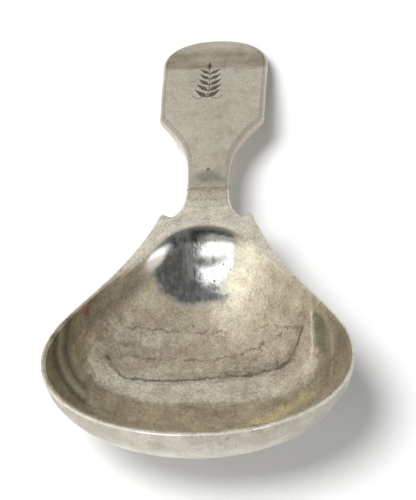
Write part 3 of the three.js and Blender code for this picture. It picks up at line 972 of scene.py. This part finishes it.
class SilverBoard(Board):
    """A material tree whose patterns lie in the spoon's own frame, in millimetres."""

    def __init__(self, name, rest):
        self.material = bpy.data.materials.new(name)
        super().__init__(cleared_tree(self.material))
        place = self.node("ShaderNodeTexCoord", output=3)
        location = (0, -rest.y * PER_MM, -rest.z * PER_MM)
        inputs = {"Vector": place, "Location": location, "Scale": (PER_MM,) * 3}
        moved = self.node("ShaderNodeMapping", inputs)
        inputs = {"Vector": moved, "Angle": rest.tilt}
        self.place = self.node("ShaderNodeVectorRotate", inputs, rotation_type="X_AXIS")
        self.x, self.v, self.w = self.split(self.place)
        self.colour = None

    def coat(self, colour, share):
        """Lays a colour over what is there."""
        self.colour = self.mix(self.colour, colour, share)

    def measure(self, name):
        """Reads one of the mesh's float attributes."""
        return self.node("ShaderNodeAttribute", output=2, attribute_name=name)

    def noise(self, scale, detail, stretch=None, offset=0.0, roughness=0.5):
        """Noise between 0 and 1, whose scale is in cycles per millimetre."""
        where = self.place
        if stretch:
            where = self.vector("MULTIPLY", where, stretch)
        if offset:
            where = self.vector("ADD", where, (offset, offset * 0.7, -offset))
        inputs = {"Vector": where, "Scale": scale, "Detail": detail, "Roughness": roughness}
        return self.node("ShaderNodeTexNoise", inputs)

    def patch(self, x, v, size_x, size_v, soft=0.5, ragged=0.0):
        """One inside an oval in plan, fading to zero outside it."""
        return self.oval((self.x - x) / size_x, (self.v - v) / size_v, soft, ragged)

    def oval(self, across, along, soft=0.5, ragged=0.0, squareness=2):
        """One where two shares of half sizes lie inside a superellipse, fading to zero outside it."""
        away = abs(across) ** squareness + abs(along) ** squareness
        away = away ** (1 / squareness)
        if ragged:
            away = away + (self.noise(0.45, 3) - 0.5) * ragged
        return 1 - smooth(away, 1 - soft, 1 + soft)

    def spot(self, x, v, w, size):
        """One inside a small ball, fading to zero outside it."""
        away = self.vector("DISTANCE", self.place, (x, v, w))
        return 1 - smooth(away, size * 0.4, size)

    def scratches(self, turn, fineness, threshold):
        """Fine straight marks that run at an angle."""
        inputs = {"Vector": self.place, "Angle": turn}
        turned = self.node("ShaderNodeVectorRotate", inputs, rotation_type="Z_AXIS")
        drawn = self.vector("MULTIPLY", turned, (fineness, 0.25, 0.4))
        grain = self.node("ShaderNodeTexNoise", {"Vector": drawn, "Scale": 1.0, "Detail": 1.5})
        return smooth(grain, threshold, threshold + 0.06)

    def pits(self, spacing, size, share):
        """Small round marks at random places."""
        inputs = {"Vector": self.place, "Scale": spacing, "Randomness": 1.0}
        distance = self.node("ShaderNodeTexVoronoi", inputs)
        near = 1 - smooth(distance, size * 0.4, size)
        chance, _, _ = self.split(distance.beside("Color"))
        return near * maths("LESS_THAN", chance, share)

    def finish(self, metallic, roughness, height):
        """Ends the material with a metal surface under the colours laid so far, and returns it."""
        BUMP = 0.02 * MM
        inputs = {
            "Base Color": self.colour,
            "Metallic": metallic,
            "Roughness": clamp(roughness, 0.05, 1),
            "Normal": self.node("ShaderNodeBump", {"Strength": 1.0, "Distance": BUMP, "Height": height}),
        }
        self.end("ShaderNodeOutputMaterial", "Surface", self.node("ShaderNodeBsdfPrincipled", inputs))
        return self.material


def picked(colours, *names):
    """Some of the colours, as tuples."""
    return [tuple(getattr(colours, name)) for name in names]


def fourth_power(value):
    square = value * value
    return square * square


def shade(colour, factor):
    return tuple(channel * factor for channel in colour)


def mottle(board, strength):
    """Lays dark and light grain, from fine spots of tarnish to broad clouds, and returns the finest."""
    fine = board.noise(3.0, 3, offset=7.0, roughness=0.75)
    middle = board.noise(0.8, 4, offset=27.0, roughness=0.65)
    broad = board.noise(0.3, 4, offset=3.0, roughness=0.6)
    dark = smooth(fine, 0.5, 0.66) * 0.6 + smooth(middle, 0.5, 0.68) * 0.5 + smooth(broad, 0.5, 0.68) * 0.4
    light = smooth(fine, 0.5, 0.34) * 0.7 + smooth(middle, 0.48, 0.32) * 0.45
    light = light + smooth(broad, 0.48, 0.32) * 0.25
    darker = board.vector("MULTIPLY", board.colour, (0.6, 0.575, 0.55))
    lighter = board.vector("MULTIPLY", board.colour, (1.35, 1.36, 1.35))
    board.coat(darker, clamp(dark * strength, 0, 1))
    board.coat(lighter, clamp(light * strength, 0, 1))
    return fine


def bowl_silver(colours, rest):
    """Silver of the bowl: bright at the heel, dull on the floor, brown below the rim, with tea stains, and
    reflections and glints painted into the colour at the heel and the front rim.
    """
    board = SilverBoard("bowl_silver", rest)
    x, v, w = board.x, board.v, board.w
    coat, mix, noise = board.coat, board.mix, board.noise
    line, oval, patch = board.line, board.oval, board.patch
    bright, dull, pale, warm = picked(colours, "bright", "dull", "pale", "warm")
    brown, stain, rose = picked(colours, "brown", "stain", "rose")
    aside = abs(x)
    layer = board.measure("layer")
    outside = smooth(layer, 0.05, 0.3)
    film_edge = smooth(board.measure("margin") * PER_MM, 0.22, 0.42) * smooth(v, -9.0, -14.0)
    inside = (1 - outside) * maths("MAXIMUM", smooth(w, 0.25, -0.4), film_edge)
    drift = (noise(0.35, 3, offset=11.0) - 0.5) * 1.6 + (noise(1.5, 3, offset=5.0) - 0.5) * 1.1

    # The light floor, and the brown walls beyond the border that the tea reached
    reach = fourth_power(x / 16.0) + fourth_power((v + 19.0) / 7.2) + drift * 0.7
    floor = 1 - smooth(reach, 0.8, 1.25)
    behind = smooth(v, -17.0, -13.5)
    floor = clamp(floor + behind * (1 - smooth(aside + (v + 20) * 0.9, 17.0, 22.0)), 0, 1)
    board.colour = brown
    coat(shade(warm, 0.7), smooth(noise(0.22, 4, offset=31.0, roughness=0.6), 0.3, 0.75))
    coat(shade(brown, 0.8), smooth(x, 13.0, 18.0) * 0.6)
    coat(brown, smooth(x, -8.0, -16.0) * smooth(noise(0.3, 3, offset=9.0), 0.3, 0.7))
    streaks = noise(1.0, 3, stretch=(1.2, 0.2, 0.2), offset=2.0)
    flanks = smooth(aside, 9.0, 14.0)
    coat(shade(brown, 0.62), smooth(streaks, 0.48, 0.72) * flanks * 0.6)
    coat(shade(pale, 0.8), smooth(streaks, 0.45, 0.3) * flanks * 0.4)
    # Painted light: the floor is coloured lighter towards the left
    coat(mix(dull, shade(pale, 1.06), smooth(x, -3.0, -11.0) * 0.8), floor)
    coat(pale, smooth(v + drift * 0.7 - x * 0.05, -21.6, -22.6) * floor * 0.5)
    greyer = between(v, -22.4, -20.5, -18.2, -15.5) * smooth(noise(0.5, 5, offset=17.0), 0.35, 0.65)
    coat(shade(brown, 1.15), greyer * 0.75)
    ruddy = smooth(noise(0.28, 4, offset=41.0, roughness=0.6), 0.44, 0.62)
    coat(RUDDY_FILM, ruddy * floor * 0.5)
    cloud = smooth(w + drift * 0.8, -4.8, -2.6) * between(x, -18.0, -15.0, -9.5, -7.0)
    coat(UMBER_CLOUD, cloud * inside * 0.7)
    # Painted warm reflection on the right flank of the hollow
    flank = patch(9.0, -11.5, 6.5, 6.5, 0.7, 0.5)
    coat(mix(pale, warm, 0.6), flank * 0.25 * (1 - outside))

    # The land behind the hollow, and the outer face
    lighter = smooth(noise(0.4, 3), 0.35, 0.65) * 0.4 + smooth(w, -2.5, -5.5) * 0.6
    outer = mix(OUTER_DULL, OUTER_PALE, lighter)
    land = mix(pale, shade(dull, 0.92), smooth(v, 0.0, 5.0))
    board.colour = mix(mix(land, outer, outside), board.colour, inside)

    # Dark runs down the left wall, and a golden smear in front
    run = v - w * 0.7 + drift * 0.35
    wall_part = smooth(x, -15.0, -16.5) * inside
    coat(RUN_GROUND, between(run, -27.0, -24.5, -21.0, -19.5) * wall_part * 0.5)
    runs = line(run + 24.4, 0.9) * 0.75 + line(run + 21.4, 0.7) * 0.6
    coat(RUN_LINE, runs * wall_part)
    coat(shade(pale, 0.75), line(run + 22.9, 0.7) * wall_part * 0.4)
    smear = oval((x - 9.5) / 5.0, (v - x * 0.42 + 34.0) / 1.1, 0.6, 0.7)
    coat(GOLDEN_SMEAR, smear * inside * 0.6)

    # Green streak and light line down the right wall
    streak = smooth(x + drift * 0.2, 15.4, 16.0) * smooth(x, 17.6, 16.8) * smooth(v, -25.0, -23.0)
    coat(GREEN_STREAK, streak * between(w, -6.5, -5.5, -2.0, -1.2) * inside * 0.8)
    rill = line(x - 15.2 + drift * 0.15, 0.3) * smooth(v, -23.0, -21.0) * smooth(w, -1.5, -2.5)
    coat(shade(pale, 1.15), rill * inside * 0.7)

    # Bright heel with an edge that wanders, a painted dark reflection along the fillet over it, and a
    # painted warm reflection to its right
    heel = oval((x + 1.5) / 6.2, (v - x * 0.07 + 6.2) / 4.2, 0.12, 0.35, 6)
    right_end = x + drift * 1.1 + between(v, -10.0, -9.4, -8.8, -7.0) * 1.8
    heel = heel * smooth(w, 0.3, 0.05) * inside * smooth(right_end, 5.4, 3.2)
    # Painted dark reflection in the fillet over the heel
    fillet = smooth(w, 0.3, 0.0) * smooth(w - aside * 0.12, -2.0, -1.3)
    fillet = fillet * patch(-0.7, -5.5, 6.2, 3.6, 0.3, 0.3)
    # Painted warm reflection to the right of the heel
    glow = patch(4.9, -7.9, 4.4, 4.6, 0.8, 0.5) * inside
    coat(HEEL_WARM_REFLECTION, glow * 0.85)
    grain = mottle(board, 0.9 - outside * 0.5)
    film = smooth(noise(1.2, 4, stretch=(1.6, 0.6, 0.6), offset=71.0), 0.42, 0.7)
    coat(mix(bright, shade(bright, 0.72), film), heel)
    coat(FILLET_DARK_REFLECTION, fillet * 0.85)

    # Painted reflection: the dark room that the heel mirrors on its left and at its foot, coloured into the
    # metal, and a painted white gleam beside it
    shadow = smooth(x + drift * 0.5, -1.5, -3.2)
    foot = smooth(v + x * 0.4 + 8.4 + drift, 0.3, -0.5) * smooth(x, 4.5, 2.5)
    wedge = oval((x + 0.4) / 2.6, (v + 6.3) / 0.5, 0.7, 0.9)
    dark = maths("MAXIMUM", shadow, maths("MAXIMUM", foot, wedge))
    core = oval((x + 2.9) / 2.0, (v + 7.6) / 3.4, 0.9, 0.6)
    brushed = noise(1.0, 3, stretch=(4.0, 0.5, 0.5), offset=13.0)
    swirls = noise(0.8, 5, stretch=(1.4, 0.8, 0.8), offset=83.0, roughness=0.7)
    painted_lit_reflection = smooth(brushed * 0.25 + swirls * 0.75, 0.43, 0.6) * (1 - maths("MAXIMUM", core, foot) * 0.6)
    coat(mix(PAINTED_MIRROR_DARK, PAINTED_MIRROR_LIT, painted_lit_reflection), dark * heel * 0.88)
    # Painted highlight: the gleam is coloured white
    gleam_v = v - x * 1.17 + 0.1
    painted_gleam = oval((x + 6.8) / 1.35, gleam_v / 0.65, 0.45, 0.6) * inside
    coat(WHITE, painted_gleam)

    # Tide lines that tea left across the floor, fine creases and pits
    wander = drift * 0.4 + (noise(0.9, 3, offset=23.0) - 0.5) * 1.3
    strength = 0.2 + smooth(noise(0.6, 3, offset=21.0), 0.38, 0.6) * 0.8
    tide = v + 21.5 - x * 0.08 - smooth(aside, 11.0, 15.0) * 3.0 + wander
    below_tide = v + 22.3 - x * 0.07 - smooth(aside, 10.0, 15.0) * 2.6 - wander
    tides = line(tide, 0.32) * strength + line(tide - 0.4, 1.3) * 0.3
    tides = tides + line(below_tide, 0.2) * (1.2 - strength) * 0.45
    tides = tides + line(v + 13.8 + x * x * 0.021 + wander, 0.2) * strength * 0.6
    tides = tides + line(v + 17.9 - x * 0.09 + wander * 1.3, 0.24) * (1.3 - strength) * 0.65
    border = line(reach - 1.0, 0.12) * strength * 0.4 * smooth(v, -20.0, -22.0)
    tides = clamp(tides * (1 - smooth(aside, 13.2, 15.2)) + border, 0, 1)
    crease = noise(1.3, 4, offset=51.0, roughness=0.7, stretch=(1.0, 2.2, 1.0)) - 0.5
    creases = between(crease, -0.025, 0.0, 0.0, 0.025) * patch(8.0, -19.0, 6.0, 3.2, 0.5, 0.6)
    specks = board.pits(0.9, 0.16, 0.3) + board.pits(2.4, 0.24, 0.2) * 0.8
    coat(stain, clamp((tides * 0.75 + creases * 0.6) * inside + specks * 0.7, 0, 1))

    # Arcs across the tongue, and a small reddish stain by the rim
    bend = x * x * 0.04
    arcs = line(v - 4.3 - bend, 0.25) + line(v - 2.4 - x * x * 0.05, 0.3) * 0.8
    arcs = (arcs + line(v - 0.9 - bend, 0.2) * 0.7) * smooth(grain, 0.35, 0.6)
    arcs = clamp(arcs + smooth(v, 0.0, 5.0) * 0.5, 0, 1) * (1 - smooth(aside, 2.2, 4.5))
    coat(brown, arcs * 0.6)
    coat(rose, board.spot(-16.0, -18.5, -1.0, 1.0) * 0.75)

    # Rim that handling keeps bright, with painted white glints in front
    rim = between(layer, 0.02, 0.12, 0.6, 0.95) * smooth(w, -0.6, -0.2)
    rim = maths("MAXIMUM", rim, smooth(board.measure("dropped") * PER_MM, 0.03, 0.15))
    coat(mix(pale, bright, 0.6), rim * 0.6)
    painted_rim_glints = smooth(abs(x + 4.2), 3.4, 2.6) + smooth(abs(x - 9.0), 1.5, 0.9)
    painted_rim_glints = painted_rim_glints * rim * smooth(v, -36.0, -38.0)
    coat(WHITE, painted_rim_glints)

    marks = board.scratches(0.7, 9, 0.69) + board.scratches(-0.75, 8, 0.7) + board.scratches(1.5, 8, 0.7)
    marks = clamp(marks, 0, 1)
    shine = maths("MAXIMUM", heel * (0.32 - (brushed - 0.5) * 0.4), glow * 0.15)
    roughness = 0.5 + (grain - 0.5) * 0.2 - shine - rim * 0.25 + marks * 0.08
    metallic = 0.5 + heel * (0.5 - dark * 0.6) - glow * (1 - heel) * 0.35 + rim * 0.4 + outside * 0.2
    metallic = clamp(blend(metallic - painted_rim_glints, 0.5, painted_gleam), 0, 1)
    uneven = noise(0.45, 3, offset=61.0)
    height = marks * (heel * 0.35 - 0.5) + grain * (0.5 - heel * 0.45) - specks
    height = height + heel * ((brushed - 0.5) * 0.7 + (uneven - 0.5) * 6.0) * (1 - painted_gleam)
    dent = oval((x + 6.75) / 2.4, gleam_v / 1.5, 0.4)
    height = height - dent * (w + 1.4) * 3.5
    return board.finish(metallic, blend(roughness, 0.2, painted_gleam), height)


def handle_silver(colours, rest):
    """Silver of the handle: a thin even film, fine scratches, dirt in the cuts, and painted dark reflection
    along the edges and in part of the band near the end.
    """
    board = SilverBoard("handle_silver", rest)
    v, coat, noise = board.v, board.coat, board.noise
    bright, dull, pale, brown, stain = picked(colours, "bright", "dull", "pale", "brown", "stain")
    board.colour = board.mix(dull, pale, 0.55)
    coat(shade(dull, 0.86), smooth(noise(0.22, 3, offset=4.0), 0.45, 0.7) * 0.6)

    # Dark band near the end, partly tarnish and partly a painted dark reflection, and a greyer neck
    drift = (noise(0.4, 4, offset=8.0) - 0.5) * 3.0
    blotches = 0.55 + smooth(noise(0.35, 3, offset=28.0), 0.35, 0.65) * 0.45
    upper = board.measure("upper")
    band = upper * smooth(v + drift * 0.6, 31.6, 33.0) * (1 - smooth(v + drift * 0.7, 36.5, 39.5) * 0.65)
    coat(brown, band * blotches * 0.95)
    coat(shade(dull, 0.72), smooth(v, 9.0, 6.0) * 0.5)
    grain = mottle(board, 0.55)

    # Bright edges, a painted dark reflection line along them, and brown side faces
    inset_share = board.measure("inset")
    edge = smooth(inset_share, 0.62, 0.42)
    painted_edge_line = board.line(inset_share - 0.78, 0.2) * smooth(v, 7.5, 12.0)
    side = smooth(inset_share, 0.14, 0.05)
    coat(board.mix(pale, bright, 0.35), edge * (1 - side) * 0.6)
    coat(brown, side * 0.5)

    # Dirt in the cuts and the pits, with a dirty patch and a dark spot on the neck, and the painted dark
    # reflection line along the edges
    smudge = board.patch(-0.2, 7.2, 1.9, 1.15, 0.6, 1.0)
    spot = board.patch(-0.1, 8.75, 0.22, 0.3)
    specks = board.pits(0.8, 0.13, 0.22) + board.pits(2.4, 0.18, 0.08) * 0.6
    cut = board.measure("cut")
    dirt = cut * 0.95 + specks * 0.6 + (smudge * 0.45 + spot * 0.8) * upper + painted_edge_line * 0.3
    coat(stain, clamp(dirt, 0, 1))
    marks = clamp(board.scratches(0.5, 9, 0.69) + board.scratches(-0.6, 8, 0.69), 0, 1)
    metallic = 0.6 - cut * 0.2 + (edge - side) * 0.2
    roughness = 0.44 + (grain - 0.5) * 0.2 + marks * 0.08 + cut * 0.2 - edge * 0.12
    return board.finish(metallic, roughness, marks * -0.5 + grain * 0.4 - specks)


def solder_silver(colours, rest):
    """Solder: a little duller and yellower than the silver it joins."""
    board = SilverBoard("solder_silver", rest)
    dull, brown = picked(colours, "dull", "brown")
    grain = board.noise(2.5, 3)
    board.colour = shade(dull, 0.95)
    board.coat(brown, smooth(grain, 0.4, 0.7) * 0.25)
    return board.finish(0.6, 0.48 + (grain - 0.5) * 0.3, grain)


# Operators


def settings(context):
    scene = context.scene
    return scene.caddy_spoon_sizes, scene.caddy_spoon_colours, scene.caddy_spoon_stage


def make_piece(context, blank_of, tree_of, silver_of, inputs, node):
    """Shapes one piece of the spoon from the settings and puts it in its CAD node's place."""
    sizes, colours, _ = settings(context)
    rest = resting_pose(sizes)
    material = silver_of(colours, rest)
    values = {name: getattr(sizes, name) for name in inputs} | vars(rest)
    finished_piece(blank_of(sizes), tree_of(material), values, material, node)
    return {"FINISHED"}


class SPOON_OT_bowl(Operator):
    """Raise the bowl from its blank"""

    bl_idname = "caddy_spoon.bowl"
    bl_label = "Raise the bowl"

    def execute(self, context):
        return make_piece(
            context, bowl_blank, raising_tree, bowl_silver, BOWL_INPUTS, "bowl"
        )


class SPOON_OT_handle(Operator):
    """Forge the handle and engrave a leafy spray on its end"""

    bl_idname = "caddy_spoon.handle"
    bl_label = "Forge the handle"

    def execute(self, context):
        return make_piece(
            context, handle_blank, engraving_tree, handle_silver, HANDLE_INPUTS, "handle"
        )


class SPOON_OT_solder(Operator):
    """Run the solder between the tongue and the handle's root"""

    bl_idname = "caddy_spoon.solder"
    bl_label = "Run the solder"

    def execute(self, context):
        return make_piece(
            context, solder_blank, solder_tree, solder_silver, (), "solder_seam"
        )


def placed_table():
    """A pale table that looks white to the camera and in reflections, and keeps the spoon's shadow."""
    HALF = 1.2
    GREY = (0.87, 0.87, 0.87, 1)
    GLOW_NEAR = 0.03
    GLOW_FROM = 0.1
    GLOW_FULL = 0.35
    material = bpy.data.materials.new("pale_table")
    board = Board(cleared_tree(material))
    diffuse = board.node("ShaderNodeBsdfDiffuse", {"Color": GREY})
    glow = board.node("ShaderNodeEmission", {"Color": (1, 1, 1, 1), "Strength": 1.0})
    camera = board.node("ShaderNodeLightPath")
    seen = camera + camera.beside("Is Glossy Ray") + camera.beside("Is Transmission Ray")
    away = board.vector("LENGTH", board.node("ShaderNodeTexCoord", output=3))
    share = clamp(seen, 0, 1) * blend(GLOW_NEAR, 1, smooth(away, GLOW_FROM, GLOW_FULL))
    surface = board.node("ShaderNodeMixShader", (share, diffuse, glow))
    board.end("ShaderNodeOutputMaterial", "Surface", surface)
    corners = np.array([(-HALF, -HALF, 0), (HALF, -HALF, 0), (HALF, HALF, 0), (-HALF, HALF, 0)])
    table = bpy.data.objects.new("table", mesh_of("table", corners, [[0, 1, 2, 3]]))
    table.data.materials.append(material)
    bpy.context.scene.collection.objects.link(table)
    return table


def lit_room(stage):
    """Pale walls, a darker ceiling, a window left of the front, a dark side and a doorway on the right."""
    WINDOW_TURN = math.radians(-5)
    WINDOW_TOP = 1.08
    BAR_ELEVATION = 38.5
    world = bpy.data.worlds.new("room")
    board = Board(cleared_tree(world))
    x, y, z = board.split(board.node("ShaderNodeTexCoord", output=0))
    azimuth = maths("ARCTAN2", x, -y) * math.degrees(1)
    elevation = maths("ARCSINE", z) * math.degrees(1)
    light = blend(stage.walls, stage.ceiling, smooth(elevation, 47, 60))
    side = between(azimuth, 10, 18, 90, 94) * smooth(elevation, 72, 62)
    light = blend(light, stage.shade, side)
    top = z - WINDOW_TOP * (x * math.sin(WINDOW_TURN) - y * math.cos(WINDOW_TURN))
    window = between(azimuth, -91, -85, -6, 14) * smooth(top, 0.08, -0.08)
    light = blend(light, stage.window, window)
    bar = board.line(elevation - BAR_ELEVATION, 1.6) * between(azimuth, -12, -4, 20, 30)
    light = blend(light, stage.shade, bar)
    doorway = between(azimuth, 66, 70, 88, 92) * smooth(elevation, 28, 22)
    light = blend(light, stage.window, doorway)
    camera = board.node("ShaderNodeLightPath")
    colour = board.mix(board.join(light, light, light), WHITE, camera)
    background = board.node("ShaderNodeBackground", {"Color": colour, "Strength": 1.0})
    board.end("ShaderNodeOutputWorld", "Surface", background)
    return world


def direction(azimuth, elevation):
    """Out from the spoon. Azimuth is counted from the front of the bowl, to the right."""
    level = math.cos(elevation)
    return Vector((math.sin(azimuth) * level, -math.cos(azimuth) * level, math.sin(elevation)))


def placed_looking(item, target, away, distance, roll=0):
    """Puts a lamp or a camera at a distance from what it looks at, and adds it to the scene."""
    facing = away.to_track_quat("Z", "Y").to_matrix() @ Euler((0, 0, roll)).to_matrix()
    item.matrix_world = Matrix.Translation(target + away * distance) @ facing.to_4x4()
    bpy.context.scene.collection.objects.link(item)
    return item


def key_light(power):
    """A soft round lamp high on the left, which doesn't show in reflections."""
    AWAY = direction(math.radians(-78), math.radians(70.5))
    DISTANCE = 0.4
    SIZE = 0.22
    TARGET = Vector((0, 0.01, 0.005))
    data = bpy.data.lights.new("key_light", "AREA")
    data.shape = "DISK"
    data.size = SIZE
    data.energy = power
    lamp = placed_looking(bpy.data.objects.new("key_light", data), TARGET, AWAY, DISTANCE)
    lamp.visible_glossy = False


def photo_camera(stage):
    """The camera of the photograph."""
    data = bpy.data.cameras.new("camera")
    data.sensor_fit = "VERTICAL"
    data.sensor_height = SENSOR
    data.lens = stage.focal_pixels / PHOTO_HEIGHT * SENSOR
    data.clip_start = MM
    camera = bpy.data.objects.new("camera", data)
    away = direction(stage.azimuth, stage.elevation)
    return placed_looking(camera, Vector(stage.target), away, stage.distance, stage.roll)


class SPOON_OT_stage(Operator):
    """Set the table, the light and the camera"""

    bl_idname = "caddy_spoon.stage"
    bl_label = "Set the stage"

    def execute(self, context):
        _, _, stage = settings(context)
        scene = context.scene
        table = placed_table()
        scene.world = lit_room(stage)
        key_light(stage.key_power)
        scene.camera = photo_camera(stage)
        scene.view_settings.view_transform = "Standard"
        return {"FINISHED"}


class SPOON_PT_panel(Panel):
    """Lists the spoon's pieces and the stage"""

    bl_idname = "SPOON_PT_panel"
    bl_label = "Caddy spoon"
    bl_space_type = "VIEW_3D"
    bl_region_type = "UI"
    bl_category = "Spoon"

    def draw(self, context):
        for operator in (SPOON_OT_bowl, SPOON_OT_handle, SPOON_OT_solder, SPOON_OT_stage):
            self.layout.operator(operator.bl_idname)
        for group in settings(context):
            box = self.layout.box()
            for name in group.__annotations__:
                box.prop(group, name)


CLASSES = (
    SpoonSizes,
    SilverColours,
    StageSettings,
    SPOON_OT_bowl,
    SPOON_OT_handle,
    SPOON_OT_solder,
    SPOON_OT_stage,
    SPOON_PT_panel,
)


def register():
    for entry in CLASSES:
        bpy.utils.register_class(entry)
    scene = bpy.types.Scene
    scene.caddy_spoon_sizes = PointerProperty(type=SpoonSizes)
    scene.caddy_spoon_colours = PointerProperty(type=SilverColours)
    scene.caddy_spoon_stage = PointerProperty(type=StageSettings)


def unregister():
    scene = bpy.types.Scene
    del scene.caddy_spoon_stage, scene.caddy_spoon_colours, scene.caddy_spoon_sizes
    for entry in reversed(CLASSES):
        bpy.utils.unregister_class(entry)


def main():
    register()
    bpy.ops.caddy_spoon.stage()
    bpy.ops.caddy_spoon.bowl()
    bpy.ops.caddy_spoon.handle()
    bpy.ops.caddy_spoon.solder()


if __name__ == "__main__":
    main()
